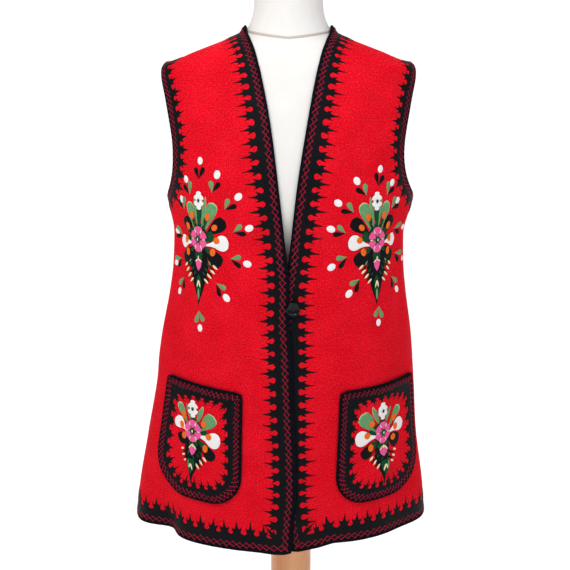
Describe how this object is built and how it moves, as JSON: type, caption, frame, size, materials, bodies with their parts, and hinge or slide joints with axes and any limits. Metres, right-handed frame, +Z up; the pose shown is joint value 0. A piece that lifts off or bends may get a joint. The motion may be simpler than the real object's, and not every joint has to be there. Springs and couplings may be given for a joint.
{
  "type": "embroidered folk vest on a dress form",
  "caption": "Long sleeveless woven wool vest with black embroidered borders, flower motifs and patch pockets, buttoned once on a limbless dress form with a round wooden stand.",
  "frame": {"origin": "centre of the underside of the stand's round base", "axes": "+Z up along the post, -Y towards the front of the vest, +X to the right of someone who faces it"},
  "size_m": [0.4945, 0.37, 1.485],
  "materials": {
    "red_wool": "coarse woven wool",
    "black_wool_tape": "folded woven tape",
    "black_plastic": "glossy",
    "white_jersey": "fine knitted jersey",
    "light_wood": "satin lacquer"
  },
  "bodies": {
    "root": {"front_left": "red_wool", "front_right": "red_wool", "back": "red_wool", "pocket_left": "red_wool", "pocket_right": "red_wool", "binding_front_left": "black_wool_tape", "binding_front_right": "black_wool_tape", "binding_back_neck": "black_wool_tape", "binding_back_hem": "black_wool_tape", "binding_armhole_left": "black_wool_tape", "binding_armhole_right": "black_wool_tape", "binding_pocket_left": "black_wool_tape", "binding_pocket_right": "black_wool_tape", "button": "black_plastic", "form_torso": "white_jersey", "post": "light_wood", "base": "light_wood"}
  },
  "joints": []
}
